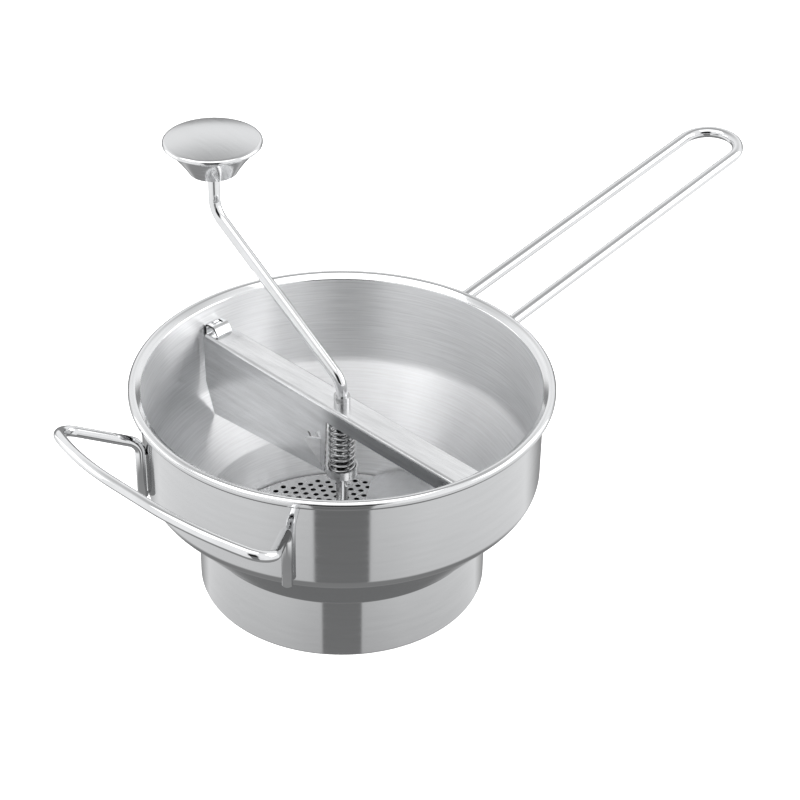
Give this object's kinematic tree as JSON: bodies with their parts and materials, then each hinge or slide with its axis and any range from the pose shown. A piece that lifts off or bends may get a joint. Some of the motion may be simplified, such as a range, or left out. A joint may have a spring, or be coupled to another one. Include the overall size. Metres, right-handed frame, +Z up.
{
  "type": "food mill",
  "caption": "Hand-cranked rotary ricer: a steel bowl with a perforated disc, a sprung crank with an inclined blade, a bridge bar, a long wire handle and a front rest loop.",
  "frame": {"origin": "centre of the bowl's base on the surface it stands on", "axes": "+Z up along the bowl and crank shaft axis, +X along the long handle, -X towards the front hook"},
  "size_m": [0.4673, 0.2174, 0.2236],
  "materials": {
    "bowl_steel": "satin outside, fine circular brushing inside",
    "disc_steel": "pressed sheet, plain",
    "wire_steel": "bright polished",
    "clip_steel": "bright rolled",
    "bridge_steel": "fine satin",
    "bush_steel": "turned",
    "spring_steel": "drawn wire",
    "blade_steel": "satin",
    "knob_steel": "fine satin dome with a bright edge",
    "knob_core_steel": "polished",
    "nylon": "plain"
  },
  "bodies": {
    "bowl": {"bowl": "bowl_steel", "sieve_disc": "disc_steel", "long_handle": "wire_steel", "front_hook": "wire_steel", "handle_weld_left": "wire_steel", "handle_weld_right": "wire_steel", "hook_weld_left": "wire_steel", "hook_weld_right": "wire_steel", "bridge_clip_left": "clip_steel", "bridge_clip_right": "clip_steel"},
    "bridge": {"bridge": "bridge_steel", "bridge_bush": "bush_steel", "spring": "spring_steel"},
    "spring_seat": {"spring_cup": "bush_steel"},
    "crank": {"crank_rod": "wire_steel", "spring_pin": "bush_steel", "blade": "blade_steel", "blade_hub": "bush_steel", "hub_pin": "bush_steel", "knob_ring": "spring_steel"},
    "knob": {"knob_cap": "knob_steel", "knob_body": "knob_core_steel", "knob_bush": "nylon"}
  },
  "joints": [
    {"name": "bridge_turn", "type": "hinge", "parent": "bowl", "child": "bridge", "pos_m": [0, 0, 0.101], "axis": [0, 0, 1], "range_deg": [0, 30]},
    {"name": "crank_lift", "type": "slide", "parent": "bridge", "child": "spring_seat", "axis": [0, 0, 1], "range_m": [0, 0.005], "stiffness_N_per_m": 1700, "springref_m": -0.008, "deforming": ["spring"]},
    {"name": "crank_turn", "type": "hinge", "parent": "spring_seat", "child": "crank", "pos_m": [0, 0, 0.06], "axis": [0, 0, 1], "continuous": true},
    {"name": "knob_spin", "type": "hinge", "parent": "crank", "child": "knob", "pos_m": [-0.00315, 0.08594, 0.21], "axis": [0, 0, 1], "continuous": true}
  ]
}
